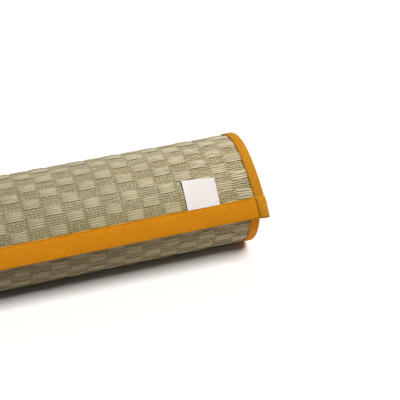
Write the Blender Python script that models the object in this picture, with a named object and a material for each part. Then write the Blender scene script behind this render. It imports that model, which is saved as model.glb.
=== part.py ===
"""Rolled rush mat: a woven rush sheet, bound with folded cloth, wound into a loose roll.

Every piece is laid out flat first, as the mat is cut and sewn, in three sheet measures:
across (along the roll's axis), along (from the free end inwards) and height above the
sheet's middle. One function then winds all the pieces up together.
The roll lies along X, its free end comes over the top to the front (-Y), and the origin is
under the middle of the roll's box, on the surface that it rests on.
"""
import bisect
import math

import bmesh
import bpy
from mathutils import Matrix, Vector

# The finished mat, laid flat, in metres
MAT_LENGTH = 1.800
MAT_WIDTH = 0.600
RUSH_THICKNESS = 0.004
CLOTH_THICKNESS = 0.001
CLEARANCE = 0.0003
SIDE_BINDING_WIDTH = 0.0118
END_BINDING_WIDTH = 0.0235
FOLD_CHAMFER = 0.0007
LAP_RAMP = 0.003

# The label, sewn a little askew on the rush, with its foot along the end binding
LABEL_WIDTH = 0.0375
LABEL_HEIGHT = 0.0300
LABEL_CENTRE = 0.2285
LABEL_TURN = 4.5

# The roll, with angles in degrees from its top, over the front, to its bottom
FREE_END_ANGLE = 86.5
FREE_END_RADIUS = 0.0649
FLAT_SPOT_ANGLE = 20.0
FACETS_PER_TURN = 26
FLAP_FACETS = 7.0

# How the free end stands off and slides to the right, and how the core end tucks in
FLAP_REACH = 0.074
FLAP_LIFT = 0.0036
FLAP_SLIDE = 0.0068
CORE_TUCK = 0.002
CORE_TUCK_START = 0.080
CORE_TUCK_END = 0.032

# What follows from these sizes. A turn is counted from the far edge of the flat spot
BINDING_HEIGHT = CLOTH_THICKNESS + CLEARANCE
PITCH = RUSH_THICKNESS + 2 * BINDING_HEIGHT + CLEARANCE
BINDING_INSIDE = RUSH_THICKNESS / 2 + CLEARANCE
BINDING_OUTSIDE = BINDING_INSIDE + CLOTH_THICKNESS
RUSH_EDGE = MAT_WIDTH / 2 - BINDING_HEIGHT
FACET_ANGLE = (360.0 - FLAT_SPOT_ANGLE) / FACETS_PER_TURN
TURN_START = 180.0 + FLAT_SPOT_ANGLE / 2

# Colours and roughness of the finishes
FINISHES = {
    "rush": {"colour": (0.47, 0.43, 0.29, 1.0), "roughness": 0.62},
    "binding_cloth": {"colour": (0.60, 0.24, 0.016, 1.0), "roughness": 0.80},
    "label_cloth": {"colour": (0.88, 0.86, 0.83, 1.0), "roughness": 0.85},
}


def turns_wound(angle):
    """Turns wound inwards at an angle. The flat spot under each turn adds none."""
    turn, into_turn = divmod(TURN_START - angle, 360.0)
    return turn + max(0.0, into_turn - FLAT_SPOT_ANGLE) / (360.0 - FLAT_SPOT_ANGLE)


def radius_at(angle):
    """Radius of the sheet's middle at an angle, which falls by one pitch each turn."""
    return FREE_END_RADIUS - PITCH * (turns_wound(angle) - turns_wound(FREE_END_ANGLE))


def flap_lift(along):
    """Height that the sheet's middle stands off its turn: out at the flap, in at the core."""
    out = max(0.0, 1.0 - along / FLAP_REACH) ** 2
    tuck = (along - MAT_LENGTH + CORE_TUCK_START) / (CORE_TUCK_START - CORE_TUCK_END)
    tuck = min(1.0, max(0.0, tuck))
    return FLAP_LIFT * out - CORE_TUCK * tuck * tuck * (3.0 - 2.0 * tuck)


def flap_slide(along):
    """Distance that the sheet has slid along the roll's axis, near its free end."""
    return FLAP_SLIDE * max(0.0, 1.0 - along / FLAP_REACH) ** 2


def radial(angle):
    """Unit vector from the roll's axis outwards at an angle."""
    turn = math.radians(angle)
    return Vector((0.0, -math.sin(turn), math.cos(turn)))


def facet_angles():
    """Angles at which the sheet bends, from the free end inwards, finer on the flap."""
    angles = [FREE_END_ANGLE]
    while angles[-1] > FLAP_FACETS:
        angles.append(angles[-1] - FLAP_FACETS)
    steps = [0.0, *(FLAT_SPOT_ANGLE + step * FACET_ANGLE for step in range(FACETS_PER_TURN))]
    for turn in range(math.ceil(FREE_END_RADIUS / PITCH)):
        turn_angles = [TURN_START - 360.0 * turn - step for step in steps]
        angles += [angle for angle in turn_angles if angle < angles[-1] - FLAP_FACETS / 2]
    return angles


def wind():
    """Stations of the wound sheet: distance along it, point on the roll and outward vector."""
    stations = []
    along = 0.0
    for angle in facet_angles():
        point = radial(angle) * radius_at(angle)
        if stations:
            along += (point - stations[-1]["point"]).length
        stations.append({"along": along, "point": point, "outward": radial(angle)})
        if along > MAT_LENGTH:
            break
    for station in stations:
        station["point"] = station["point"] + station["outward"] * flap_lift(station["along"])
        station["point"].x = flap_slide(station["along"])
    return stations


STATIONS = wind()
BENDS = [station["along"] for station in STATIONS]
AXIS_HEIGHT = (radius_at(-TURN_START) + BINDING_OUTSIDE) * math.cos(math.radians(FLAT_SPOT_ANGLE / 2))


def wound(flat):
    """Where a point of the flat layout (across, along, height) lies on the roll."""
    nearer = min(max(bisect.bisect_right(BENDS, flat.y) - 1, 0), len(BENDS) - 2)
    before = STATIONS[nearer]
    after = STATIONS[nearer + 1]
    share = (flat.y - before["along"]) / (after["along"] - before["along"])
    start = before["point"] + before["outward"] * flat.z
    end = after["point"] + after["outward"] * flat.z
    return start.lerp(end, share) + Vector((flat.x, 0.0, AXIS_HEIGHT))


def cuts_between(first, last, extra=()):
    """Distances along the sheet where a piece bends, from its first to its last edge."""
    inside = [bend for bend in (*BENDS, *extra) if first + CLEARANCE < bend < last - CLEARANCE]
    return [first, *sorted(inside), last]


def sewn_piece(name, finish, mesh, collection):
    """Wind a flat mesh up, and add it to the model with its own finish."""
    for vert in mesh.verts:
        vert.co = wound(vert.co)
    bmesh.ops.recalc_face_normals(mesh, faces=mesh.faces)
    data = bpy.data.meshes.new(name)
    mesh.to_mesh(data)
    mesh.free()
    material = bpy.data.materials.new(name + "_finish")
    material.use_nodes = True
    shader = material.node_tree.nodes["Principled BSDF"]
    shader.inputs["Base Color"].default_value = FINISHES[finish]["colour"]
    shader.inputs["Roughness"].default_value = FINISHES[finish]["roughness"]
    shader.inputs["Metallic"].default_value = 0.0
    data.materials.append(material)
    piece = bpy.data.objects.new(name, data)
    collection.objects.link(piece)
    return piece


def extruded_along(section_at, cuts):
    """Flat mesh of a cross-section of (across, height) points, extruded from cut to cut."""
    mesh = bmesh.new()
    ring = [mesh.verts.new((across, cuts[0], height)) for across, height in section_at(cuts[0])]
    face = mesh.faces.new(ring)
    for number, cut in enumerate(cuts[1:]):
        result = bmesh.ops.extrude_face_region(mesh, geom=[face])
        if number:
            bmesh.ops.delete(mesh, geom=[face], context="FACES_ONLY")
        face = next(item for item in result["geom"] if isinstance(item, bmesh.types.BMFace))
        for vert, (across, height) in zip(face.verts, section_at(cut)):
            vert.co = (across, cut, height)
    return mesh


def extruded_across(outline, half_width):
    """Flat mesh of a cross-section of (along, height) points, extruded across the mat."""
    mesh = bmesh.new()
    face = mesh.faces.new([mesh.verts.new((-half_width, along, height)) for along, height in outline])
    result = bmesh.ops.extrude_face_region(mesh, geom=[face])
    moved = [item for item in result["geom"] if isinstance(item, bmesh.types.BMVert)]
    bmesh.ops.translate(mesh, verts=moved, vec=(2 * half_width, 0.0, 0.0))
    return mesh


def rush_section(_along):
    """Cross-section of the rush sheet, which lies inside all four bindings."""
    half = RUSH_THICKNESS / 2
    return [(-RUSH_EDGE, -half), (RUSH_EDGE, -half), (RUSH_EDGE, half), (-RUSH_EDGE, half)]


def lap_height(along):
    """Extra height of a side binding where it climbs over an end binding."""
    from_end = min(along, MAT_LENGTH - along)
    climb = (END_BINDING_WIDTH + CLEARANCE + LAP_RAMP - from_end) / LAP_RAMP
    return BINDING_HEIGHT * min(1.0, max(0.0, climb))


def side_binding_section(side):
    """Cross-section of the cloth folded over a long edge, on the side given by its sign."""
    def section(along):
        inside = BINDING_INSIDE + lap_height(along)
        outside = inside + CLOTH_THICKNESS
        edge = MAT_WIDTH / 2
        fold = edge - FOLD_CHAMFER
        lining = edge - CLOTH_THICKNESS
        hem = edge - SIDE_BINDING_WIDTH
        upper = [(hem, inside), (hem, outside), (fold, outside), (edge, outside - FOLD_CHAMFER)]
        lower = [(across, -height) for across, height in reversed(upper)]
        inner = [(lining, -inside), (lining, inside)]
        return [(side * across, height) for across, height in (*upper, *lower, *inner)]
    return section


def end_binding_outline(from_core):
    """Cross-section of the cloth folded over a short edge, at the core or the free end."""
    hem = END_BINDING_WIDTH
    if from_core:
        cuts = [MAT_LENGTH - cut for cut in cuts_between(MAT_LENGTH - hem, MAT_LENGTH)][::-1]
    else:
        cuts = cuts_between(0.0, hem)
    bends = cuts[1:]
    top = [(cut, BINDING_OUTSIDE) for cut in bends]
    top_inside = [(cut, BINDING_INSIDE) for cut in reversed(bends)]
    upper = [(FOLD_CHAMFER, BINDING_OUTSIDE), *top, *top_inside, (CLOTH_THICKNESS, BINDING_INSIDE)]
    lower = [(cut, -height) for cut, height in reversed(upper)]
    fold = [(0.0, FOLD_CHAMFER - BINDING_OUTSIDE), (0.0, BINDING_OUTSIDE - FOLD_CHAMFER)]
    outline = [*upper, *lower, *fold]
    return [(MAT_LENGTH - cut if from_core else cut, height) for cut, height in outline]


def label_section(_along):
    """Cross-section of the label, a single layer of cloth on the rush."""
    left = LABEL_CENTRE - LABEL_WIDTH / 2
    right = LABEL_CENTRE + LABEL_WIDTH / 2
    low = BINDING_INSIDE
    high = BINDING_OUTSIDE
    return [(left, low), (right, low), (right, high), (left, high)]


def set_label_askew(mesh, foot):
    """Turn the flat label a little to the right, but keep its foot along the end binding."""
    slope = math.tan(math.radians(LABEL_TURN))
    for vert in mesh.verts:
        climb = vert.co.y - foot
        vert.co.y -= slope * (vert.co.x - LABEL_CENTRE) * climb / LABEL_HEIGHT
        vert.co.x += slope * climb


def centre_on_footprint(pieces):
    """Move the wound pieces so that the origin lies under the middle of the roll's box."""
    corners = [vert.co for piece in pieces for vert in piece.data.vertices]
    low = Vector([min(corner[axis] for corner in corners) for axis in range(3)])
    high = Vector([max(corner[axis] for corner in corners) for axis in range(3)])
    middle = (low + high) / 2
    for piece in pieces:
        piece.data.transform(Matrix.Translation((-middle.x, -middle.y, -low.z)))


def build():
    """Remove what the scene holds, then make, wind and name every piece."""
    for leftover in list(bpy.data.objects):
        bpy.data.objects.remove(leftover, do_unlink=True)
    collection = bpy.data.collections.new("rolled_rush_mat")
    bpy.context.scene.collection.children.link(collection)

    cuts = cuts_between(BINDING_HEIGHT, MAT_LENGTH - BINDING_HEIGHT)
    sewn_piece("rush_mat", "rush", extruded_along(rush_section, cuts), collection)

    hem = END_BINDING_WIDTH + CLEARANCE
    laps = (hem, hem + LAP_RAMP, MAT_LENGTH - hem - LAP_RAMP, MAT_LENGTH - hem)
    cuts = cuts_between(0.0, MAT_LENGTH, laps)
    for name, side in (("side_binding_right", 1.0), ("side_binding_left", -1.0)):
        mesh = extruded_along(side_binding_section(side), cuts)
        sewn_piece(name, "binding_cloth", mesh, collection)

    for name, from_core in (("end_binding_outer", False), ("end_binding_inner", True)):
        mesh = extruded_across(end_binding_outline(from_core), RUSH_EDGE)
        sewn_piece(name, "binding_cloth", mesh, collection)

    mesh = extruded_along(label_section, cuts_between(hem, hem + LABEL_HEIGHT))
    set_label_askew(mesh, hem)
    sewn_piece("blank_label", "label_cloth", mesh, collection)

    centre_on_footprint(list(collection.objects))


build()
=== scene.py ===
"""Weaves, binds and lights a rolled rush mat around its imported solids.

Each piece is laid out on the flat mat in three sheet measures, and then wound up with it:
across (along the roll's axis), along (from the free end inwards) and height above the
middle of the sheet.
"""

import math

import bpy
import numpy as np
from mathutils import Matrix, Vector


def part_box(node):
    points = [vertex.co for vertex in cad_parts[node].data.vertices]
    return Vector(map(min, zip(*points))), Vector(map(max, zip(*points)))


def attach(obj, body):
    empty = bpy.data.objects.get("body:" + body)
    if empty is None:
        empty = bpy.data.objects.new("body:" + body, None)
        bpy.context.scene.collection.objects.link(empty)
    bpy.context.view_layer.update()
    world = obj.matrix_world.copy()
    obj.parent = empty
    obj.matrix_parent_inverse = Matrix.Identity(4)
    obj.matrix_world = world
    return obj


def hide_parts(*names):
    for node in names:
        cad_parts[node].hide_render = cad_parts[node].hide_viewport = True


bl_info = {
    "name": "Rolled Rush Mat",
    "version": (1, 0, 0),
    "blender": (4, 5, 0),
    "location": "3D View > Sidebar > Rush Mat",
    "description": "Weaves, binds and lights a rolled rush mat",
    "category": "Object",
}

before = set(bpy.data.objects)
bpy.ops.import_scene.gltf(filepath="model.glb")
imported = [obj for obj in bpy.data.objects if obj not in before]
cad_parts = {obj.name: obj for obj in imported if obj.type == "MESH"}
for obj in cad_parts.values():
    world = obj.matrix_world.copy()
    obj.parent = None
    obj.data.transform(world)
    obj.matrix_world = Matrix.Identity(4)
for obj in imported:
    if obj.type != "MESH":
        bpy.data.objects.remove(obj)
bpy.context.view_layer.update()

BODY = "root"
SEED = 11
MM = 0.001

# Random heights that a soft wave runs through, and the one at the start of the mat
KNOTS = 4096
FIRST_KNOT = 1000.0


class MatSizes(bpy.types.PropertyGroup):
    """Sizes of the mat and of the roll it is wound into."""

    length: bpy.props.FloatProperty(
        name="Length", description="Finished length of the flat mat", default=1.8, unit="LENGTH")
    width: bpy.props.FloatProperty(
        name="Width", description="Finished width of the flat mat", default=0.6, unit="LENGTH")
    rush: bpy.props.FloatProperty(
        name="Rush", description="Thickness of the rush sheet", default=0.004, unit="LENGTH")
    cloth: bpy.props.FloatProperty(
        name="Cloth", description="Thickness of the binding cloth", default=0.001, unit="LENGTH")
    clearance: bpy.props.FloatProperty(
        name="Clearance", description="Room between touching layers", default=0.0003, unit="LENGTH")
    side_binding: bpy.props.FloatProperty(
        name="Side binding", description="Width of the side binding's face", default=0.0118,
        unit="LENGTH")
    end_binding: bpy.props.FloatProperty(
        name="End binding", description="Width of the end binding's face", default=0.0235,
        unit="LENGTH")
    lap_ramp: bpy.props.FloatProperty(
        name="Lap ramp", description="Length over which a side binding climbs an end binding",
        default=0.0014, unit="LENGTH")
    lap_inset: bpy.props.FloatProperty(
        name="Lap inset", description="How far into the end binding that climb begins",
        default=0.0014, unit="LENGTH")
    free_end_radius: bpy.props.FloatProperty(
        name="Free end radius", description="Radius of the sheet's middle at its free end",
        default=0.0649, unit="LENGTH")
    free_end_angle: bpy.props.FloatProperty(
        name="Free end angle", description="Degrees from the roll's top to its free end", default=86.5)
    flat_spot: bpy.props.FloatProperty(
        name="Flat spot", description="Degrees of each turn that are pressed flat", default=20.0)
    facet: bpy.props.FloatProperty(
        name="Facet", description="Degrees between bends of the packed solid's sheet",
        default=340.0 / 26)
    flap_reach: bpy.props.FloatProperty(
        name="Flap reach", description="Length of the free end that stands off", default=0.074,
        unit="LENGTH")
    flap_lift: bpy.props.FloatProperty(
        name="Flap lift", description="Height that the free end stands off", default=0.0036,
        unit="LENGTH")
    flap_slide: bpy.props.FloatProperty(
        name="Flap slide", description="Distance that the free end slid along the axis",
        default=0.0068, unit="LENGTH")
    core_tuck: bpy.props.FloatProperty(
        name="Core tuck", description="Depth that the core end is tucked in", default=0.002,
        unit="LENGTH")
    label_width: bpy.props.FloatProperty(
        name="Label width", description="Width of the label", default=0.0375, unit="LENGTH")
    label_height: bpy.props.FloatProperty(
        name="Label height", description="Height of the label", default=0.030, unit="LENGTH")
    label_centre: bpy.props.FloatProperty(
        name="Label centre", description="Middle of the label across the mat", default=0.2285,
        unit="LENGTH")
    label_turn: bpy.props.FloatProperty(
        name="Label turn", description="Degrees that the label is sewn askew", default=4.5)


class WeaveSizes(bpy.types.PropertyGroup):
    column: bpy.props.FloatProperty(
        name="Column", description="Width of one column of checks", default=0.02125, unit="LENGTH")
    row: bpy.props.FloatProperty(
        name="Row", description="Height of one row of checks", default=0.0106, unit="LENGTH")
    first_column: bpy.props.FloatProperty(
        name="First column", description="Middle of a column, across the mat", default=0.2582,
        unit="LENGTH")
    first_row: bpy.props.FloatProperty(
        name="First row", description="Lower edge of a row, along the mat", default=0.0345,
        unit="LENGTH")
    strands: bpy.props.IntProperty(
        name="Strands", description="Rush strands in one row of checks", default=4)
    knuckles: bpy.props.IntProperty(
        name="Knuckles", description="Times that a strand rises in a dark check", default=5)
    float_top: bpy.props.FloatProperty(
        name="Float top", description="Height of a light check above the sheet's middle",
        default=0.00232, unit="LENGTH")
    knuckle_top: bpy.props.FloatProperty(
        name="Knuckle top", description="Height of a dark check above the sheet's middle",
        default=0.00185, unit="LENGTH")
    knuckle_foot: bpy.props.FloatProperty(
        name="Knuckle foot", description="Height of a strand where it passes under a cord",
        default=0.00142, unit="LENGTH")
    bound: bpy.props.FloatProperty(
        name="Bound", description="Height of a strand where it is bound between two columns",
        default=0.00130, unit="LENGTH")
    ground: bpy.props.FloatProperty(
        name="Ground", description="Height of the sheet under its strands", default=0.0011,
        unit="LENGTH")
    gather: bpy.props.FloatProperty(
        name="Gather", description="Share of its row that a light check draws together to",
        default=0.945)
    reach: bpy.props.FloatProperty(
        name="Reach", description="Length of the mat, from its free end, that shows outside",
        default=0.405, unit="LENGTH")


def colour_property(name, description, default):
    """A colour that the user may change."""
    return bpy.props.FloatVectorProperty(
        name=name, description=description, default=default, size=3, subtype="COLOR")


class Finishes(bpy.types.PropertyGroup):
    """Colours of the rush, the cloth and the floor."""

    rush_pale: colour_property("Pale rush", "Palest strands", (0.5783, 0.4979, 0.301))
    rush_mid: colour_property("Mid rush", "Most strands", (0.457, 0.3907, 0.2271))
    rush_green: colour_property("Green rush", "Strands cut young", (0.3684, 0.338, 0.185))
    # Painted shade: rush darkened to stand for the shade in the weave's depth
    rush_depth_shade: colour_property("Rush ground", "Rush in the weave's depth", (0.1900, 0.1480, 0.0530))
    binding: colour_property("Binding", "End binding cloth", (0.745, 0.2930, 0.0037))
    binding_shade: colour_property("Binding shade", "Darker threads of it", (0.554, 0.202, 0.0022))
    side_binding: colour_property("Side binding", "Side binding cloth", (0.530, 0.2320, 0.0120))
    side_shade: colour_property("Side shade", "Darker threads of it", (0.452, 0.1850, 0.0060))
    thread: colour_property("Thread", "Sewing thread", (0.300, 0.088, 0.004))
    label: colour_property("Label", "Label cloth", (0.738, 0.684, 0.650))
    floor: colour_property("Floor", "Plain pale floor", (0.690, 0.664, 0.646))


class StageSizes(bpy.types.PropertyGroup):
    """The camera, the light and the floor."""

    camera_place: bpy.props.FloatVectorProperty(
        name="Camera place", description="Where the camera stands", default=(-0.148, -1.1201, 0.8662),
        size=3, subtype="TRANSLATION")
    camera_turn: bpy.props.FloatProperty(
        name="Camera turn", description="Turn of the camera to the right", subtype="ANGLE",
        default=math.radians(19.295))
    camera_drop: bpy.props.FloatProperty(
        name="Camera drop", description="How far the camera looks down", subtype="ANGLE",
        default=math.radians(34.225))
    lens: bpy.props.FloatProperty(
        name="Lens", description="Focal length in millimetres", default=111.5)
    sky: bpy.props.FloatProperty(
        name="Sky", description="Strength of the even light", default=0.12)
    lamp: bpy.props.FloatProperty(
        name="Lamp", description="Strength of the soft light overhead", default=4.92)
    lamp_lean: bpy.props.FloatProperty(
        name="Lamp lean", description="Lean of the light overhead to the front", subtype="ANGLE",
        default=math.radians(20.0))
    lamp_side: bpy.props.FloatProperty(
        name="Lamp side", description="Lean of the light overhead to the right", subtype="ANGLE",
        default=math.radians(18.0))
    fill: bpy.props.FloatProperty(
        name="Fill", description="Strength of the broad light from behind", default=0.80)
    fill_lean: bpy.props.FloatProperty(
        name="Fill lean", description="Lean of the broad light to the back", subtype="ANGLE",
        default=math.radians(50.0))
    fill_spread: bpy.props.FloatProperty(
        name="Fill spread", description="Apparent size of the broad light", subtype="ANGLE",
        default=math.radians(50.0))
    lamp_spread: bpy.props.FloatProperty(
        name="Lamp spread", description="Apparent size of the light overhead", subtype="ANGLE",
        default=math.radians(24.0))
    floor_reach: bpy.props.FloatProperty(
        name="Floor reach", description="Half the width of the floor", default=30.0, unit="LENGTH")


def mat():
    """Sizes of the mat."""
    return bpy.context.scene.rush_mat_sizes


def weave():
    """Sizes of the weave."""
    return bpy.context.scene.rush_mat_weave


def binding_inside():
    """Height of a binding's inner face above the sheet's middle."""
    return mat().rush / 2 + mat().clearance


def binding_outside():
    """Height of a binding's outer face above the sheet's middle."""
    return binding_inside() + mat().cloth


class Winding:
    """The rolled-up sheet: where each point of the flat mat comes to lie."""

    STEP = 1.0
    TURN = 360.0
    TUCK_START = 0.080
    TUCK_END = 0.032

    def __init__(self):
        sizes = mat()
        self.pitch = sizes.rush + 2 * (sizes.cloth + sizes.clearance) + sizes.clearance
        self.turn_start = 180.0 + sizes.flat_spot / 2
        turns = sizes.free_end_radius / self.pitch
        self.angles = sizes.free_end_angle - np.arange(0.0, turns * self.TURN, self.STEP)
        self.radii = self.radius(self.angles)
        y, z = self.circle(self.angles, self.radii)
        steps = np.hypot(np.diff(y), np.diff(z))
        half_facet = math.radians(sizes.facet) / 2
        self.alongs = np.concatenate([[0.0], np.cumsum(steps)]) * math.sin(half_facet) / half_facet
        self.centre = self.axis()

    def radius(self, angle):
        """Radius of the sheet's middle at an angle from the roll's top over its front."""
        sizes = mat()
        turned = sizes.free_end_radius + self.pitch * self.turns(sizes.free_end_angle)
        flat = np.mod(self.turn_start - angle, self.TURN)
        middle = math.cos(math.radians(sizes.flat_spot / 2))
        pressed = middle / np.cos(np.radians(np.minimum(flat, sizes.flat_spot) - sizes.flat_spot / 2))
        return (turned - self.pitch * self.turns(angle)) * pressed

    def turns(self, angle):
        """Turns wound inwards at an angle. The flat spot under each turn adds none."""
        turn, into_turn = np.divmod(self.turn_start - np.asarray(angle, float), self.TURN)
        flat = mat().flat_spot
        return turn + np.maximum(0.0, into_turn - flat) / (self.TURN - flat)

    @staticmethod
    def circle(angle, radius):
        """Y and Z of points at angles and radii round the roll's axis."""
        turn = np.radians(angle)
        return -radius * np.sin(turn), radius * np.cos(turn)

    def axis(self):
        """Where the roll's axis crosses the middle of the mat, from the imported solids."""
        right_low, right_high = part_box("side_binding_right")
        flap_y, _height = self.circle(
            mat().free_end_angle,
            mat().free_end_radius + mat().flap_lift + binding_outside() + mat().cloth + mat().clearance)
        lowest = self.radius(np.array([-self.TURN / 2]))[0] + binding_outside() * math.cos(
            math.radians(mat().flat_spot / 2))
        return Vector((
            right_high.x - mat().flap_slide - mat().width / 2,
            right_low.y - flap_y,
            right_low.z + lowest))

    def lift(self, along):
        """Height that the sheet stands off its turn: out at the flap, in at the core."""
        sizes = mat()
        out = np.maximum(0.0, 1.0 - along / sizes.flap_reach) ** 2
        tuck = (along - sizes.length + self.TUCK_START) / (self.TUCK_START - self.TUCK_END)
        tuck = np.clip(tuck, 0.0, 1.0)
        return sizes.flap_lift * out - sizes.core_tuck * tuck * tuck * (3.0 - 2.0 * tuck)

    def slide(self, along):
        """Distance that the sheet has slid along the axis, near its free end."""
        return mat().flap_slide * np.maximum(0.0, 1.0 - along / mat().flap_reach) ** 2

    def place(self, flat):
        """World points of flat points (across, along, height)."""
        across, along, height = np.asarray(flat, float).reshape(-1, 3).T
        angle = np.interp(along, self.alongs, self.angles)
        radius = np.interp(along, self.alongs, self.radii)
        y, z = self.circle(angle, radius + height + self.lift(along))
        return np.stack([
            across + self.slide(along) + self.centre.x,
            y + self.centre.y,
            z + self.centre.z], axis=1)


def wound_piece(name, flat, faces, values=None):
    """A smooth mesh object from flat points and lists of faces, wound up, with its layout as UVs.

    The faces are arrays of equal-sided faces, and the values are named numbers for each point.
    """
    flat = np.asarray(flat, float).reshape(-1, 3)
    mesh = bpy.data.meshes.new(name)
    listed = [face for group in faces for face in group.tolist()]
    mesh.from_pydata(Winding().place(flat).tolist(), [], listed)
    corners = np.concatenate([group.ravel() for group in faces])
    layout = mesh.uv_layers.new(name="flat_layout")
    layout.data.foreach_set("uv", flat[corners, :2].astype(np.float32).ravel())
    for key, numbers in (values or {}).items():
        attribute = mesh.attributes.new(key, "FLOAT", "POINT")
        attribute.data.foreach_set("value", np.asarray(numbers, np.float32).ravel())
    mesh.shade_smooth()
    piece = bpy.data.objects.new(name, mesh)
    bpy.context.scene.collection.objects.link(piece)
    return piece


def tube_faces(ring, rings):
    """Faces of a closed tube of rings: its quads and its two end caps."""
    around = np.arange(ring)
    base = np.arange(rings - 1)[:, None] * ring
    first = base + around
    second = base + (around + 1) % ring
    sides = np.stack([first, second, second + ring, first + ring], axis=-1).reshape(-1, 4)
    caps = np.stack([around[::-1], around + (rings - 1) * ring])
    return [sides, caps]


def repeated(faces, points_each, count):
    """The faces of one small piece, repeated for each of its copies."""
    offsets = np.arange(count)[:, None, None] * points_each
    return [(group[None] + offsets).reshape(-1, group.shape[1]) for group in faces]


def uneven(along, wavelength, seed):
    """A soft random wave between about -1 and 1, the same each time."""
    knots = np.random.default_rng(seed).uniform(-1.0, 1.0, KNOTS)
    place = np.asarray(along, float) / wavelength + FIRST_KNOT
    whole = np.floor(place).astype(int)
    share = place - whole
    share = share * share * (3.0 - 2.0 * share)
    return knots[whole % KNOTS] * (1.0 - share) + knots[(whole + 1) % KNOTS] * share


def new_material(name):
    """An empty node material with a Principled shader."""
    material = bpy.data.materials.new(name)
    material.use_nodes = True
    return material, material.node_tree, material.node_tree.nodes["Principled BSDF"]


def add_node(tree, kind, **settings):
    """A shader node with its own settings."""
    node = tree.nodes.new(kind)
    for key, value in settings.items():
        setattr(node, key, value)
    return node


def flat_coordinates(tree, across, along):
    """The mat's flat layout, scaled across and along it."""
    layout = add_node(tree, "ShaderNodeUVMap", uv_map="flat_layout")
    scale = add_node(tree, "ShaderNodeMapping")
    scale.inputs["Scale"].default_value = (across, along, 1.0)
    tree.links.new(layout.outputs["UV"], scale.inputs["Vector"])
    return scale.outputs["Vector"]


def mixed(tree, factor, first, second, blend="MIX"):
    """A colour mixed from two colours or sockets by a factor socket or number."""
    mix = add_node(tree, "ShaderNodeMix", data_type="RGBA", blend_type=blend)
    for socket, value in ((mix.inputs[0], factor), (mix.inputs[6], first), (mix.inputs[7], second)):
        if isinstance(value, bpy.types.NodeSocket):
            tree.links.new(value, socket)
        elif isinstance(value, (int, float)):
            socket.default_value = value
        else:
            socket.default_value = (*value, 1.0)
    return mix.outputs[2]


def noise(tree, vector, scale, detail=2.0, roughness=0.5):
    """A noise value at a scale, over a vector socket."""
    texture = add_node(tree, "ShaderNodeTexNoise")
    texture.inputs["Scale"].default_value = scale
    texture.inputs["Detail"].default_value = detail
    texture.inputs["Roughness"].default_value = roughness
    tree.links.new(vector, texture.inputs["Vector"])
    return texture.outputs["Fac"]


def spread(tree, value, low, high):
    """A value stretched so that low becomes 0 and high becomes 1."""
    stretch = add_node(tree, "ShaderNodeMapRange")
    stretch.inputs["From Min"].default_value = low
    stretch.inputs["From Max"].default_value = high
    tree.links.new(value, stretch.inputs["Value"])
    return stretch.outputs["Result"]


def bump(tree, shader, height, depth, strength=1.0):
    """Relief from a height socket on the shader's normal."""
    relief = add_node(tree, "ShaderNodeBump")
    relief.inputs["Strength"].default_value = strength
    relief.inputs["Distance"].default_value = depth
    tree.links.new(height, relief.inputs["Height"])
    tree.links.new(relief.outputs["Normal"], shader.inputs["Normal"])


def calculated(tree, operation, first, *more):
    """The result of a sum on value sockets."""
    node = add_node(tree, "ShaderNodeMath", operation=operation)
    for number, socket in enumerate((first, *more)):
        tree.links.new(socket, node.inputs[number])
    return node.outputs["Value"]


def layout_place(tree, axis):
    """The place of a point on the flat mat: X across it, or Y from its free end."""
    layout = add_node(tree, "ShaderNodeUVMap", uv_map="flat_layout")
    parts = add_node(tree, "ShaderNodeSeparateXYZ")
    tree.links.new(layout.outputs["UV"], parts.inputs["Vector"])
    return parts.outputs[axis]


# Where the tones start and where they are full: the first across the mat, from its middle, and
# the others along it, from its free end
MID_WIDTH_REACH = (0.290, 0.0)
COVERED_TURN = (0.270, 0.340)
TOP_LIT_REACH = (0.040, 0.105)
CORNER_LAP = (0.0265, 0.0235)


def mid_width(tree):
    """1 at the middle of the mat's width, falling to 0 at its two sides: painted shade darkens the middle,
    so that the ends show lighter.
    """
    return spread(tree, calculated(tree, "ABSOLUTE", layout_place(tree, "X")), *MID_WIDTH_REACH)


def covered(tree):
    """0 on the outer turn, rising to 1 on the turn that it covers, which is painted with the shade under
    the flap on the rush, and with painted light on the side binding.
    """
    return spread(tree, layout_place(tree, "Y"), *COVERED_TURN)


def top_lit(tree):
    """0 by the free end, rising to 1 on the roll's top: painted shade by the free end, turning to painted
    light on the top.
    """
    return spread(tree, layout_place(tree, "Y"), *TOP_LIT_REACH)


def lapped(tree):
    """1 where a side binding laps over the free end's binding, and 0 beyond."""
    return spread(tree, layout_place(tree, "Y"), *CORNER_LAP)


# Painted light and shade that the rush is multiplied by: painted shade at the middle of its width, painted
# shade on the covered turn under the flap, painted shade by the free end, painted light on the roll's top,
# and more painted shade at the middle of the covered turn's width
MIDDLE_PAINTED_SHADE = (0.69, 0.69, 0.645)
COVERED_PAINTED_SHADE = (0.89, 0.85, 0.72)
FREE_END_PAINTED_SHADE = (0.93, 0.93, 0.89)
TOP_PAINTED_LIGHT = (1.08, 1.09, 1.22)
COVERED_MIDDLE_SHADE = (0.775, 0.745, 0.62)
COVERED_MIDDLE_SHADE_FULL = 0.65


def rush_streaks(tree):
    """Fine streaks along the strands."""
    return noise(tree, flat_coordinates(tree, 110.0, 2600.0), 1.0, 3.0, 0.6)


def shaded(colour, share):
    """A colour made darker or lighter by a share."""
    return tuple(share * part for part in colour)


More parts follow.
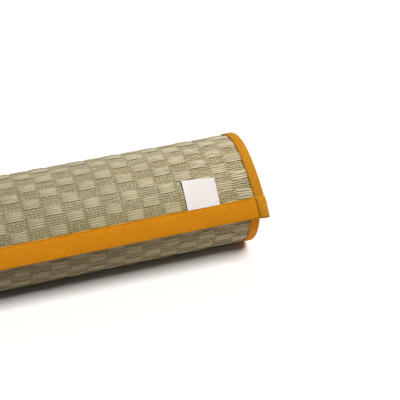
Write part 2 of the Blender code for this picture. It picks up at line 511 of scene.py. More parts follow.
def rush_material():
    """Dry rush: strands of pale, mid and green tints, streaked along, with painted shade that deepens with
    their depth in the weave, and painted light and shade by where they lie on the roll.
    """
    finishes = bpy.context.scene.rush_mat_finishes
    material, tree, shader = new_material("rush_strand")
    tint = add_node(tree, "ShaderNodeAttribute", attribute_name="tint").outputs["Fac"]
    depth = add_node(tree, "ShaderNodeAttribute", attribute_name="depth").outputs["Fac"]
    ramp = add_node(tree, "ShaderNodeValToRGB")
    stops = ramp.color_ramp.elements
    stops[0].color = (*finishes.rush_green, 1.0)
    stops[1].color = (*finishes.rush_pale, 1.0)
    middle = stops.new(0.35)
    middle.color = (*finishes.rush_mid, 1.0)
    tree.links.new(tint, ramp.inputs["Fac"])
    streaks = rush_streaks(tree)
    patches = noise(tree, flat_coordinates(tree, 22.0, 30.0), 1.0, 2.0)
    streaked = mixed(tree, spread(tree, streaks, 0.72, 0.38), ramp.outputs["Color"],
                     shaded(finishes.rush_mid, 0.55))
    faded = mixed(tree, spread(tree, patches, 0.35, 1.6), streaked, finishes.rush_pale)
    # Painted shade: the strands darken towards the shade colour by their depth
    painted_depth = mixed(tree, depth, faded, finishes.rush_depth_shade)
    # Painted shade at the middle of the width, which leaves the ends lighter
    toned = mixed(tree, mid_width(tree), painted_depth, MIDDLE_PAINTED_SHADE, "MULTIPLY")
    toned = mixed(tree, covered(tree), toned, COVERED_PAINTED_SHADE, "MULTIPLY")
    # Painted shade by the free end, turning to painted light on the roll's top
    lit = mixed(tree, top_lit(tree), FREE_END_PAINTED_SHADE, TOP_PAINTED_LIGHT)
    toned = mixed(tree, 1.0, toned, lit, "MULTIPLY")
    # More painted shade at the middle of the covered turn's width
    covered_middle_shade = spread(tree, calculated(tree, "MULTIPLY", covered(tree), mid_width(tree)), 0.0, COVERED_MIDDLE_SHADE_FULL)
    toned = mixed(tree, covered_middle_shade, toned, COVERED_MIDDLE_SHADE, "MULTIPLY")
    tree.links.new(toned, shader.inputs["Base Color"])
    shader.inputs["Roughness"].default_value = 0.50
    shader.inputs["Specular IOR Level"].default_value = 0.38
    shader.inputs["Sheen Weight"].default_value = 0.25
    shader.inputs["Sheen Roughness"].default_value = 0.5
    shader.inputs["Sheen Tint"].default_value = (*finishes.rush_pale, 1.0)
    bump(tree, shader, streaks, 0.00025, 0.6)
    return material


def ground_material():
    """The rush sheet's depth and back: a plain weave of rush over thin cords, coloured in the painted
    shade of the weave's depth.
    """
    finishes = bpy.context.scene.rush_mat_finishes
    sizes = weave()
    material, tree, shader = new_material("rush_depth_shade")
    strand = sizes.row / sizes.strands
    layout = flat_coordinates(tree, sizes.knuckles / sizes.column, 1.0 / strand)
    checks = add_node(tree, "ShaderNodeTexChecker")
    checks.inputs["Scale"].default_value = 1.0
    tree.links.new(layout, checks.inputs["Vector"])
    streaks = rush_streaks(tree)
    cells = mixed(tree, checks.outputs["Fac"], finishes.rush_depth_shade, shaded(finishes.rush_depth_shade, 1.5))
    streaked = mixed(tree, spread(tree, streaks, 0.7, 0.3), cells, shaded(finishes.rush_depth_shade, 0.6))
    tree.links.new(streaked, shader.inputs["Base Color"])
    shader.inputs["Roughness"].default_value = 0.7
    shader.inputs["Specular IOR Level"].default_value = 0.25
    bump(tree, shader, checks.outputs["Fac"], 0.0004, 0.5)
    return material


# Width of one band of the wave texture at a scale of 1
WAVE_AT_ONE = 0.314


def cloth_material(name, colour, shade, thread, relief, roughness, speckle=0.76, tones=()):
    """Cotton cloth: a fine twill, a slight mottle and a soft sheen.

    The thread is the width of its threads, the relief their height, and the speckle the tone of the
    darkest ones. Each of the tones is a place on the mat and a colour of painted light to multiply by
    there.
    """
    material, tree, shader = new_material(name)
    layout = flat_coordinates(tree, 1.0, 1.0)
    waves = []
    for direction in ("DIAGONAL", "X", "Y"):
        wave = add_node(tree, "ShaderNodeTexWave", bands_direction=direction)
        wave.inputs["Scale"].default_value = WAVE_AT_ONE / thread / 2
        wave.inputs["Distortion"].default_value = 0.6
        tree.links.new(layout, wave.inputs["Vector"])
        waves.append(wave.outputs["Fac"])
    grain = noise(tree, layout, 520.0, 2.0, 0.7)
    mottle = noise(tree, layout, 170.0, 4.0, 0.6)
    broad = noise(tree, layout, 28.0, 2.0)
    crossed = mixed(tree, 0.5, waves[1], waves[2])
    woven = mixed(tree, 0.4, waves[0], crossed)
    toned = mixed(tree, spread(tree, mottle, 0.70, 0.30), colour, shade)
    toned = mixed(tree, spread(tree, broad, 0.64, 0.36), toned, shade)
    toned = mixed(tree, spread(tree, grain, 0.66, 0.38), toned, shaded(shade, speckle))
    toned = mixed(tree, 0.34, toned, woven, "MULTIPLY")
    for place, tone in tones:
        toned = mixed(tree, place(tree), toned, tone, "MULTIPLY")
    tree.links.new(toned, shader.inputs["Base Color"])
    shader.inputs["Roughness"].default_value = roughness
    shader.inputs["Specular IOR Level"].default_value = 0.10
    shader.inputs["Sheen Weight"].default_value = 0.05
    shader.inputs["Sheen Roughness"].default_value = 0.5
    shader.inputs["Sheen Tint"].default_value = (*colour, 1.0)
    bump(tree, shader, woven, relief, 0.5)
    return material


def dress(piece, material, slot, *nodes):
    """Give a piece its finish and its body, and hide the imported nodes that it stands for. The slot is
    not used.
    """
    piece.data.materials.append(material)
    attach(piece, BODY)
    if nodes:
        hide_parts(*nodes)


def swept_flat(section, alongs):
    """Flat points of a cross-section of (across, height) rows, one ring for each distance."""
    rings = []
    for along in alongs:
        ring = np.asarray(section(along), float)
        rings.append(np.stack([ring[:, 0], np.full(len(ring), along), ring[:, 1]], axis=1))
    return np.concatenate(rings)


# How far the free end was pulled to the left, at the mat's left edge
PULLED_LEFT = 0.006

# Where the strands towards the right end begin to loosen, and the distance until they are loosest
LOOSE_FROM = 0.17
LOOSE_OVER = 0.09


def wander(across, along):
    """Distance that the columns wander sideways: the free end was pulled to the left."""
    sizes = mat()
    from_right = (sizes.width / 2 - across) / sizes.width
    return -PULLED_LEFT * from_right * np.maximum(0.0, 1.0 - along / sizes.flap_reach) ** 1.5


def loosened(across):
    """0 over most of the mat's width, rising to 1 near its right end."""
    return np.clip((across - LOOSE_FROM) / LOOSE_OVER, 0.0, 1.0)


class RUSHMAT_OT_weave_ground(bpy.types.Operator):
    """Wind the rush sheet itself, which shows between the strands and under the flap"""

    bl_idname = "rushmat.weave_ground"
    bl_label = "Weave ground"

    def execute(self, context):
        edge = mat().width / 2 - mat().cloth - mat().clearance
        low = -mat().rush / 2
        high = weave().ground
        section = [(-edge, low), (edge, low), (edge, high), (-edge, high)]
        start = mat().cloth + mat().clearance
        alongs = np.arange(start, mat().length - start, 3 * MM)
        # The sheet under the strands is coloured in the painted shade of the weave's depth
        sheet = wound_piece("rush_ground_sheet", swept_flat(lambda _along: section, alongs),
                            tube_faces(len(section), len(alongs)))
        dress(sheet, ground_material(), "rush", "rush_mat")
        return {"FINISHED"}


def chance(row, column, seed):
    """A number from 0 to 1 that belongs to one check, the same for all its strands."""
    return np.random.default_rng((seed, row + 500, column + 500)).random()


class RUSHMAT_OT_weave_strands(bpy.types.Operator):
    """Weave the rush strands: afloat over the light checks, over and under cords in the dark ones"""

    bl_idname = "rushmat.weave_strands"
    bl_label = "Weave strands"

    SIDES = ("front", "top", "back", "under")
    RING = np.array([(-1.0, 0.66), (-0.86, 0.90), (-0.35, 0.99), (0.35, 0.99), (0.86, 0.90), (1.0, 0.66)])
    # Columns: share of the check's width, share of the float's rise, share of the strand's width, depth of
    # its painted shade, share of its gathering
    FLOAT = (
        (0.000, 0.00, 0.80, 0.85, 0.3),
        (0.050, 0.32, 0.90, 0.70, 0.6),
        (0.105, 0.85, 1.00, 0.10, 1.0),
        (0.500, 1.00, 1.00, 0.00, 1.0),
        (0.895, 0.85, 1.00, 0.10, 1.0),
        (0.950, 0.32, 0.90, 0.70, 0.6),
    )
    END = 0.2945
    BETWEEN_CHECKS = (0.06, 0.94)
    CHECK_LIFT = 0.08 * MM
    OUTER_DROP = 0.00014
    # Knuckles: steps to each, how far neighbours are set off, and the widths and painted shades of a
    # strand from where it passes under a cord to the top of a knuckle
    STEPS = 4
    STAGGERS = (0.06, 0.18, 0.42)
    JITTER = 0.20
    LOWEST_KNUCKLE = 0.20
    NARROWED = 0.94
    CREST_SHADE = 0.10
    FOOT_SHADE = 0.95
    # Tints, from 0 for green to 1 for pale: most strands, how much strands and checks differ, the painted
    # light added at the right end, and the painted light on the rows on the roll's top
    TINT = 0.40
    STRAND_TINTS = 0.10
    CHECK_TINTS = 0.11
    RIGHT_LIGHT_TINT = 0.20
    RIGHT_LIGHT_FROM = 0.10
    RIGHT_LIGHT_OVER = 0.15
    TOP_LIGHT_TINT = 0.28
    TOP_LIGHT_ROW = 7.0
    TOP_LIGHT_ROWS = 3.5
    TOP_LIGHT_DEPTH = 1.6
    # Looseness: of the last columns, and the waves of a strand in millimetres and their length
    LOOSE_COLUMNS = 0.45
    WAVES = 0.16
    RIGHT_WAVES = 0.54
    WAVE_LENGTH = 0.0042
    RIGHT_NARROWED = 0.085
    # Numbers that belong to the random choices
    STAGGER_SEED = 71
    GATHER_SEED = 72
    SHARED_WAVE_SEED = 61
    OWN_WAVE_SEED = 62

    def execute(self, context):
        sizes = weave()
        source = np.random.default_rng(SEED)
        finish = rush_material()
        first = -math.ceil((sizes.first_row - mat().end_binding) / sizes.row) - 1
        last = math.ceil((sizes.reach - sizes.first_row) / sizes.row)
        rows = range(first, last)
        for number, side in enumerate(self.SIDES):
            start = number * len(rows) // len(self.SIDES)
            stop = (number + 1) * len(rows) // len(self.SIDES)
            piece = self.weave_rows(f"rush_strands_{side}", rows[start:stop], source)
            dress(piece, finish, "rush")
        return {"FINISHED"}

    def weave_rows(self, name, rows, source):
        """One joined mesh of the strands of some rows."""
        points, quads, caps, tints, depths = [], [], [], [], []
        count = 0
        for row in rows:
            for number in range(weave().strands):
                stations = self.stations(row, number, source)
                flat = self.strand(row, number, stations, source)
                if flat is None:
                    continue
                sides, ends = tube_faces(len(self.RING), len(stations))
                points.append(flat)
                quads.append(sides + count)
                caps.append(ends + count)
                tints.append(np.repeat(stations[:, 4], len(self.RING)))
                depths.append(np.repeat(stations[:, 3], len(self.RING)))
                count += len(flat)
        faces = [np.concatenate(quads), np.concatenate(caps)]
        values = {"tint": np.concatenate(tints), "depth": np.concatenate(depths)}
        return wound_piece(name, np.concatenate(points), faces, values)

    def stations(self, row, number, source):
        """Stations along a strand: across, height, width, depth of painted shade, tint and gathering."""
        sizes = weave()
        columns = math.ceil(mat().width / sizes.column)
        own_tint = source.normal(self.TINT, self.STRAND_TINTS)
        # Painted light on the rows at the roll's top: paler tints and less painted shade
        top_light = self.TOP_LIGHT_TINT * math.exp(-((row - self.TOP_LIGHT_ROW) / self.TOP_LIGHT_ROWS) ** 2)
        found = []
        for column in range(-columns, columns):
            left = sizes.first_column + (column - 0.5) * sizes.column
            if left > self.END or left + sizes.column < -self.END:
                continue
            lift = source.normal(0.0, self.CHECK_LIFT)
            # Painted light at the right end: its strands are tinted paler
            right_light = np.clip((left - self.RIGHT_LIGHT_FROM) / self.RIGHT_LIGHT_OVER, 0.0, 1.0)
            tint = own_tint + source.normal(0.0, self.CHECK_TINTS) + self.RIGHT_LIGHT_TINT * right_light
            tint += top_light
            light = (column + row) % 2 == 0
            groove = source.uniform(0.55, 1.10)
            unbound = self.LOOSE_COLUMNS * (left > sizes.first_column)
            stagger = self.STAGGERS[int(chance(row, column, self.STAGGER_SEED) * len(self.STAGGERS))]
            pulled = 0.5 + 0.9 * chance(row, column, self.GATHER_SEED)
            if light and number in (0, sizes.strands - 1):
                lift -= self.OUTER_DROP
            for share, height, width, depth, gather in self.over_check(light, number, stagger, source):
                height = height + lift * (share > 0.0)
                gather = gather * pulled
                depth = depth * (1.0 - self.TOP_LIGHT_DEPTH * top_light)
                # Painted shade in the grooves between checks: a random share of it, and less where the
                # strands lie loose
                if not self.BETWEEN_CHECKS[0] < share < self.BETWEEN_CHECKS[1]:
                    depth = depth * groove * (1.0 - unbound)
                    height = height + unbound * (sizes.float_top - height)
                found.append((left + share * sizes.column, height, width, depth, tint, gather))
        found = np.array(found)
        return found[np.abs(found[:, 0]) < self.END]

    def over_check(self, light, number, stagger, source):
        """Stations over one check: share, height, width, depth of painted shade and gathering."""
        sizes = weave()
        if light:
            rise = sizes.float_top - sizes.bound
            return [(share, sizes.bound + rise * up, width, depth, gather)
                    for share, up, width, depth, gather in self.FLOAT]
        steps = self.STEPS * sizes.knuckles
        found = [(0.0, sizes.bound, *self.FLOAT[0][2:])]
        weights = source.uniform(self.LOWEST_KNUCKLE, 1.0, sizes.knuckles + 2)
        start = stagger * (number % 2) + source.uniform(-self.JITTER, self.JITTER)
        for step in range(1, steps):
            place = step / self.STEPS + start
            over = (0.5 + 0.5 * math.cos(2 * math.pi * place)) * weights[round(place) % len(weights)]
            height = sizes.knuckle_foot + over * (sizes.knuckle_top - sizes.knuckle_foot)
            width = self.NARROWED + over * (1.0 - self.NARROWED)
            depth = self.FOOT_SHADE + over * (self.CREST_SHADE - self.FOOT_SHADE)
            found.append((step / steps, height, width, depth, 0.0))
        return found

    def strand(self, row, number, stations, source):
        """Flat points of one strand, or None where it lies under the end binding."""
        sizes = weave()
        across, height, width, _depth, _tint, gather = stations.T
        gather = gather * (row >= 0)
        pitch = sizes.row / sizes.strands
        middle = sizes.first_row + (row + 0.5) * sizes.row
        from_middle = (number - (sizes.strands - 1) / 2) * pitch
        if middle + from_middle < mat().end_binding - 1.2 * pitch:
            return None
        drawn = 1.0 + (sizes.gather - 1.0) * gather
        shift = 0.5 * (1.0 - sizes.gather) * sizes.row * gather
        reach = (self.WAVES + self.RIGHT_WAVES * loosened(across)) * MM
        shared = uneven(across + 0.5 * middle, self.WAVE_LENGTH, self.SHARED_WAVE_SEED)
        own_wave = uneven(across + 1.7 * row + 0.43 * number, self.WAVE_LENGTH, self.OWN_WAVE_SEED)
        along = middle + from_middle * drawn + 0.8 * shift + reach * (shared + 0.5 * own_wave)
        spaced = 1.0 - self.RIGHT_NARROWED * loosened(across)
        half = pitch / 2 * width * drawn * spaced * source.uniform(0.96, 1.06)
        flat = np.empty((len(across), len(self.RING), 3))
        flat[..., 0] = (across + wander(across, along))[:, None]
        flat[..., 1] = along[:, None] + half[:, None] * self.RING[:, 0]
        flat[..., 2] = sizes.ground + (height - sizes.ground)[:, None] * self.RING[:, 1]
        return flat.reshape(-1, 3)


# The dip along a tape's stitched hem: distance from the hem, and depth
HEM_DIP = ((0.0, 0.00062), (0.0005, 0.00030), (0.0012, 0.00038), (0.0024, 0.00012), (0.0042, 0.0))

# A tape's fold: its radius outside, and the least that it has inside
FOLD_RADIUS = 0.0021
LEAST_RADIUS = 0.0002

# The ridge and the valley of the wrinkle below a lap: distance from the climb's foot, half of
# their width, and height
WRINKLES = ((0.0030, 0.0010, 0.0002), (0.0005, 0.0006, -0.0004))

# A side binding where it laps over an end binding: how much deeper its hem is pressed, and the
# share of the lap's height that it stands further out
LAP_PRESSED = 0.75
LAP_PROUD = 0.6

# The short and the long waves of a tape: their lengths, and the numbers of their random choices
SIDE_WAVES = ((0.018, 21), (0.060, 31))
END_WAVES = ((0.030, 41), (0.110, 51))

# How far those waves move a tape's hem, the outer edge of a side binding, and the middle of an
# end binding's face
SIDE_HEM = (0.00022, 0.0002)
END_HEM = (0.00025, 0.0002)
SIDE_EDGE = 0.00015
PUFF = 0.00012

# Share of a wrinkle's height that the edge beside it stands further out
WRINKLE_PROUD = 0.4


def fold_arc(radius, top, turns):
    """Outline of a quarter of a round fold of a radius, from its top to its outermost point."""
    return [(FOLD_RADIUS - radius * math.sin(turn), top - radius + radius * math.cos(turn))
            for turn in turns]


def hem_outline(width, top, pressed):
    """Outline of one face of a tape's hem, pressed down deeper by a factor."""
    return [(width - distance, top - pressed * dip) for distance, dip in HEM_DIP]


def tape_section(width, inside, outside, pressed=1.0):
    """Outline (inwards, height) of tape folded over an edge at 0, with a round fold."""
    turns = np.radians(np.array([0.0, 22.5, 45.0, 67.5, 90.0]))
    inner = max(FOLD_RADIUS - (outside - inside), LEAST_RADIUS)
    upper_outer = hem_outline(width, outside, pressed) + fold_arc(FOLD_RADIUS, outside, turns)
    upper_inner = hem_outline(width, inside, pressed) + fold_arc(inner, inside, turns[::2])
    lower_outer = [(inwards, -height) for inwards, height in upper_outer[::-1]]
    lower_inner = [(inwards, -height) for inwards, height in upper_inner]
    return [*upper_outer, *lower_outer, *lower_inner, *upper_inner[::-1]]


def lap_height(along):
    """Extra height of a side binding where it climbs over an end binding."""
    sizes = mat()
    from_end = min(along, sizes.length - along)
    climb = (sizes.end_binding - sizes.lap_inset + sizes.lap_ramp - from_end) / sizes.lap_ramp
    climb = min(1.0, max(0.0, climb))
    return (sizes.cloth + sizes.clearance) * climb * climb * (3.0 - 2.0 * climb)


def crease(along):
    """Height of the wrinkle in a side binding just before it climbs over an end binding."""
    sizes = mat()
    from_end = min(along, sizes.length - along)
    foot = sizes.end_binding - sizes.lap_inset + sizes.lap_ramp
    return sum(height * math.exp(-((from_end - foot - distance) / half) ** 2)
               for distance, half, height in WRINKLES)


def tape_waves(place, waves, number):
    """The short and the long wave of a numbered tape at a place along it."""
    return [float(uneven(place, wavelength, seed + number)) for wavelength, seed in waves]


def side_section(side):
    """Cross-section of a side binding on the side given by its sign, a little uneven."""
    def section(along):
        wave, broad = tape_waves(along, SIDE_WAVES, side)
        lap = lap_height(along)
        width = mat().side_binding + SIDE_HEM[0] * wave + SIDE_HEM[1] * broad
        wrinkle = crease(along)
        outside = binding_outside() + lap + wrinkle
        pressed = 1.0 + LAP_PRESSED * lap / (mat().cloth + mat().clearance)
        outline = tape_section(width, binding_inside() + lap + wrinkle, outside, pressed)
        proud = LAP_PROUD * lap if along < mat().flap_reach else 0.0
        edge = mat().width / 2 + SIDE_EDGE * wave + proud + WRINKLE_PROUD * wrinkle
        return [(side * (edge - inwards), height) for inwards, height in outline]
    return section


class RUSHMAT_OT_bind_sides(bpy.types.Operator):
    """Fold the binding tape over both long edges of the mat"""

    bl_idname = "rushmat.bind_sides"
    bl_label = "Bind sides"

    # Painted light on the side binding: where it laps over the end binding, on the roll's top, and on the
    # covered turn below the flap
    PAINTED_LIGHTS = ((lapped, 3 * (1.15,)), (top_lit, 3 * (1.22,)), (covered, (1.34, 1.20, 1.34)))
    FLAP_STEP = 3 * MM
    STEP = 6 * MM
    LAP_STEPS = 16
    WRINKLE_REACH = 0.0045

    def execute(self, context):
        sizes = mat()
        finishes = context.scene.rush_mat_finishes
        tape = cloth_material("side_tape", finishes.side_binding, finishes.side_shade,
                              thread=0.0007, relief=0.00012, roughness=0.80, tones=self.PAINTED_LIGHTS)
        hem = sizes.end_binding - sizes.lap_inset
        laps = hem + np.linspace(0.0, sizes.lap_ramp + self.WRINKLE_REACH, self.LAP_STEPS)
        alongs = np.concatenate([
            np.arange(0.0, sizes.flap_reach, self.FLAP_STEP),
            np.arange(sizes.flap_reach, sizes.length, self.STEP),
            laps, sizes.length - laps, [sizes.length]])
        alongs = np.unique(np.round(alongs, 5))
        for name, side, node in (("right_side_tape", 1, "side_binding_right"),
                                 ("left_side_tape", -1, "side_binding_left")):
            section = side_section(side)
            ring = len(section(0.0))
            tube = swept_flat(section, alongs)
            piece = wound_piece(name, tube, tube_faces(ring, len(alongs)))
            dress(piece, tape, "binding_cloth", node)
        return {"FINISHED"}


class RUSHMAT_OT_bind_ends(bpy.types.Operator):
    """Fold the wider binding tape over the free end and the core end"""

    bl_idname = "rushmat.bind_ends"
    bl_label = "Bind ends"

    STEP = 0.004

    def execute(self, context):
        sizes = mat()
        finishes = context.scene.rush_mat_finishes
        tape = cloth_material("end_tape", finishes.binding, finishes.binding_shade,
                              thread=0.0007, relief=0.00012, roughness=0.80)
        half = sizes.width / 2 - sizes.cloth - sizes.clearance
        count = round(2 * half / self.STEP) + 1
        for name, at_core, node in (("free_end_tape", False, "end_binding_outer"),
                                    ("core_end_tape", True, "end_binding_inner")):
            rings = []
            for across in np.linspace(-half, half, count):
                rings.append(self.ring(across, at_core))
            ring = len(rings[0])
            piece = wound_piece(name, np.concatenate(rings), tube_faces(ring, count))
            dress(piece, tape, "binding_cloth", node)
        return {"FINISHED"}

    def ring(self, across, at_core):
        """Flat points round the tape at one place across the mat."""
        wave, broad = tape_waves(across, END_WAVES, at_core)
        width = mat().end_binding + END_HEM[0] * wave + END_HEM[1] * broad
        outline = tape_section(width, binding_inside(), binding_outside())
        curved = []
        for number, (inwards, height) in enumerate(outline):
            nearer = outline[(number + 1) % len(outline)]
            steps = max(1, round(abs(nearer[0] - inwards) / self.STEP))
            for step in range(steps):
                share = step / steps
                point = (inwards + (nearer[0] - inwards) * share, height + (nearer[1] - height) * share)
                curved.append(point)
        points = []
        for inwards, height in curved:
            swell = PUFF * wave * math.sin(math.pi * min(1.0, max(0.0, inwards / width)))
            along = mat().length - inwards if at_core else inwards
            points.append((across, along, height + math.copysign(swell, height)))
        return np.array(points)


class RUSHMAT_OT_sew_stitches(bpy.types.Operator):
    """Sew the bindings down with a row of small stitches beside their hems"""

    bl_idname = "rushmat.sew_stitches"
    bl_label = "Sew stitches"

    LENGTH = 0.0024
    PITCH = 0.0036
    START = 0.001
    HEM = 0.0011
    THREAD = 0.00042
    SIDE_THREAD = 0.00034
    SUNK = 0.00054
    # The slanting stitches of the corner's seam lie beyond the side binding's hem, on the end
    # binding, and stand up by a share of the lap's height
    SEAM_PITCH = 0.0022
    SEAM_THREAD = 0.00026
    SEAM_OUT = 0.0006
    SEAM_RISE = 0.25
    SEAM_SLANT = (0.5, 0.8)
    RING = ((-1.0, 0.0), (-0.6, 0.8), (0.6, 0.8), (1.0, 0.0), (0.6, -0.8), (-0.6, -0.8))
    ENDS = ((0.0, -0.8), (0.2, 0.5), (0.8, 0.5), (1.0, -0.8))

    def execute(self, context):
        ring = np.array(self.RING)
        lines = [*self.side_lines(), *self.end_lines(), *self.seam_lines()]
        points = []
        for (across, along), (step_across, step_along), height, thread in lines:
            for share, rise in self.ENDS:
                centre_across = across + step_across * share * self.LENGTH
                centre_along = along + step_along * share * self.LENGTH
                for sideways, up in ring:
                    points.append((
                        centre_across + step_along * sideways * thread,
                        centre_along - step_across * sideways * thread,
                        height + (rise + up) * thread))
        faces = repeated(tube_faces(len(ring), len(self.ENDS)), len(ring) * len(self.ENDS), len(lines))
        stitches = wound_piece("binding_stitches", points, faces)
        finishes = context.scene.rush_mat_finishes
        cotton = cloth_material("sewing_thread", finishes.thread, finishes.thread,
                                thread=0.0002, relief=0.00005, roughness=0.75)
        dress(stitches, cotton, "binding_cloth")
        return {"FINISHED"}

    def side_lines(self):
        """Stitches beside the side bindings' hems: start, direction, height and thickness."""
        inner = mat().width / 2 - mat().side_binding + self.HEM
        lines = []
        for along in np.arange(self.START, weave().reach, self.PITCH):
            lap = lap_height(along)
            height = binding_outside() + lap - self.SUNK
            if lap_height(along + self.LENGTH) == lap:
                for side in (-1, 1):
                    across = side * (inner + LAP_PROUD * lap)
                    lines.append(((across, along), (0.0, 1.0), height, self.SIDE_THREAD))
        return lines

    def end_lines(self):
        """Stitches beside the hem of the free end's binding."""
        end = mat().end_binding - self.HEM
        reach = mat().width / 2 - mat().side_binding - self.START
        height = binding_outside() - self.SUNK
        return [((across, end), (1.0, 0.0), height, self.THREAD)
                for across in np.arange(-reach, reach - self.LENGTH, self.PITCH)]

    def seam_lines(self):
        """Slanting stitches where a side binding is sewn down on the end binding."""
        lap = lap_height(0.0)
        inner = mat().width / 2 - mat().side_binding + LAP_PROUD * lap - self.SEAM_OUT
        height = binding_outside() + self.SEAM_RISE * lap
        aside, ahead = self.SEAM_SLANT
        return [((side * inner, along), (side * aside, ahead), height, self.SEAM_THREAD)
                for along in np.arange(self.START, mat().end_binding - self.LENGTH, self.SEAM_PITCH)
                for side in (-1, 1)]


class RUSHMAT_OT_sew_label(bpy.types.Operator):
    """Lay the blank label on the rush, askew, with its foot under the end binding"""

    bl_idname = "rushmat.sew_label"
    bl_label = "Sew label"

    ROWS = 24
    COLUMNS = 30
    THICKNESS = 0.0006
    TUCKED = 0.0015
    CURL = 0.0011
    LEFT_CURL = 1.1
    RIPPLE = 0.00012

    def execute(self, context):
        across, along, height = self.flat_grid()
        grid = np.stack([across, along, height], axis=-1)
        under = grid.copy()
        under[..., 2] -= self.THICKNESS
        rows, columns = across.shape
        index = np.arange(rows * columns).reshape(rows, columns)
        top = np.stack([index[:-1, :-1], index[:-1, 1:], index[1:, 1:], index[1:, :-1]], -1).reshape(-1, 4)
        bottom = top[:, ::-1] + rows * columns
        rim = np.concatenate([index[0, :-1], index[:-1, -1], index[-1, :0:-1], index[:0:-1, 0]])
        rim_next = np.roll(rim, -1)
        sides = np.stack([rim_next, rim, rim + rows * columns, rim_next + rows * columns], -1)
        points = np.concatenate([grid.reshape(-1, 3), under.reshape(-1, 3)])
        label = wound_piece("blank_label_cloth", points, [np.concatenate([top, bottom, sides])])
        label.data.set_sharp_from_angle(angle=math.radians(50))
        finishes = context.scene.rush_mat_finishes
        cloth = cloth_material("label_cloth", finishes.label, shaded(finishes.label, 0.9),
                               thread=0.00035, relief=0.00006, roughness=0.85, speckle=0.95)
        dress(label, cloth, "label_cloth", "blank_label")
        return {"FINISHED"}

    def flat_grid(self):
        """Flat grid of the label: its place across and along the mat, and its height."""
        sizes = mat()
        slope = math.tan(math.radians(sizes.label_turn))
        foot = sizes.end_binding + sizes.clearance
        tucked = -self.TUCKED / sizes.label_height
        share_across, share_along = np.meshgrid(
            np.linspace(-0.5, 0.5, self.COLUMNS), np.linspace(tucked, 1.0, self.ROWS))
        climb = share_along * sizes.label_height
        aside = share_across * sizes.label_width
        across = sizes.label_centre + aside + slope * climb
        along = foot + climb - slope * aside * np.maximum(0.0, share_along)
        rests = weave().float_top + self.THICKNESS
        up = np.clip(share_along, 0.0, 1.0)
        right = np.clip(share_across * 2, 0.0, 1.0) ** 3 * up ** 4
        left = self.LEFT_CURL * np.clip(-share_across * 2, 0.0, 1.0) ** 4 * up
        ripple = self.RIPPLE * np.sin(7.0 * share_across + 3.0 * share_along) * up
        height = rests + self.CURL * (right + left) + ripple
        return across, along, height


def lens_camera():
    """The camera at the photograph's place and angle."""
    settings = bpy.context.scene.rush_mat_stage
    data = bpy.data.cameras.new("camera")
    data.lens = settings.lens
    data.sensor_width = 36.0
    data.clip_start = 0.01
    data.clip_end = 100.0
    camera = bpy.data.objects.new("camera", data)
    bpy.context.scene.collection.objects.link(camera)
    camera.location = settings.camera_place
    camera.rotation_euler = (math.pi / 2 - settings.camera_drop, 0.0, -settings.camera_turn)
    bpy.context.scene.camera = camera


def soft_light(name, strength, spread, forward, sideways):
    """A broad far light that leans forward and to the right by two angles."""
    lamp = bpy.data.lights.new(name, "SUN")
    lamp.energy = strength
    lamp.angle = spread
    holder = bpy.data.objects.new(name, lamp)
    holder.rotation_euler = (forward, sideways, 0.0)
    bpy.context.scene.collection.objects.link(holder)


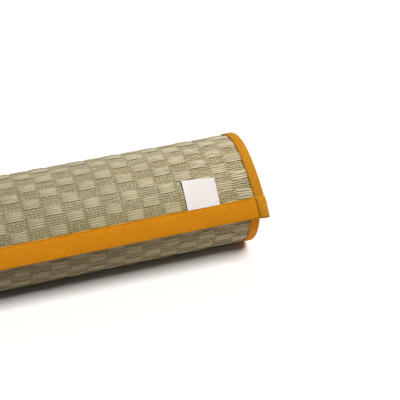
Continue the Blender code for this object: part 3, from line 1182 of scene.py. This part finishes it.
class RUSHMAT_OT_set_stage(bpy.types.Operator):
    """Set up the camera, the soft light and the plain pale floor"""

    bl_idname = "rushmat.set_stage"
    bl_label = "Set stage"

    def execute(self, context):
        settings = context.scene.rush_mat_stage
        lens_camera()
        reach = settings.floor_reach
        mesh = bpy.data.meshes.new("floor")
        corners = [(-reach, -reach, 0.0), (reach, -reach, 0.0), (reach, reach, 0.0), (-reach, reach, 0.0)]
        mesh.from_pydata(corners, [], [(0, 1, 2, 3)])
        floor = bpy.data.objects.new("floor", mesh)
        context.scene.collection.objects.link(floor)
        material, tree, shader = new_material("floor")
        shader.inputs["Base Color"].default_value = (*context.scene.rush_mat_finishes.floor, 1.0)
        shader.inputs["Roughness"].default_value = 0.9
        shader.inputs["Specular IOR Level"].default_value = 0.0
        mesh.materials.append(material)
        world = bpy.data.worlds.new("studio")
        world.use_nodes = True
        background = world.node_tree.nodes["Background"]
        background.inputs["Color"].default_value = (1.0, 1.0, 1.0, 1.0)
        background.inputs["Strength"].default_value = settings.sky
        context.scene.world = world
        soft_light("overhead", settings.lamp, settings.lamp_spread, settings.lamp_lean, settings.lamp_side)
        soft_light("behind", settings.fill, settings.fill_spread, -settings.fill_lean, 0.0)
        context.scene.view_settings.view_transform = "Standard"
        return {"FINISHED"}


class RUSHMAT_PT_pieces(bpy.types.Panel):
    """Lists what makes up the mat"""

    bl_idname = "RUSHMAT_PT_pieces"
    bl_label = "Rolled rush mat"
    bl_space_type = "VIEW_3D"
    bl_region_type = "UI"
    bl_category = "Rush Mat"

    def draw(self, context):
        for operator in OPERATORS:
            self.layout.operator(operator.bl_idname)
        for group in ("rush_mat_sizes", "rush_mat_weave", "rush_mat_finishes", "rush_mat_stage"):
            settings = getattr(context.scene, group)
            box = self.layout.box()
            for key in settings.bl_rna.properties.keys():
                if key not in ("rna_type", "name"):
                    box.prop(settings, key)


GROUPS = {
    "rush_mat_sizes": MatSizes,
    "rush_mat_weave": WeaveSizes,
    "rush_mat_finishes": Finishes,
    "rush_mat_stage": StageSizes,
}
OPERATORS = (
    RUSHMAT_OT_weave_ground,
    RUSHMAT_OT_weave_strands,
    RUSHMAT_OT_bind_sides,
    RUSHMAT_OT_bind_ends,
    RUSHMAT_OT_sew_stitches,
    RUSHMAT_OT_sew_label,
    RUSHMAT_OT_set_stage,
)


def register():
    """Add the settings, operators and panel."""
    for group in GROUPS.values():
        bpy.utils.register_class(group)
    for key, group in GROUPS.items():
        setattr(bpy.types.Scene, key, bpy.props.PointerProperty(type=group))
    for operator in OPERATORS:
        bpy.utils.register_class(operator)
    bpy.utils.register_class(RUSHMAT_PT_pieces)


def unregister():
    """Take the settings, operators and panel away again."""
    bpy.utils.unregister_class(RUSHMAT_PT_pieces)
    for operator in reversed(OPERATORS):
        bpy.utils.unregister_class(operator)
    for key in GROUPS:
        delattr(bpy.types.Scene, key)
    for group in reversed(GROUPS.values()):
        bpy.utils.unregister_class(group)


def main():
    register()
    for operator in OPERATORS:
        group, name = operator.bl_idname.split(".")
        getattr(getattr(bpy.ops, group), name)()


if __name__ == "__main__":
    main()
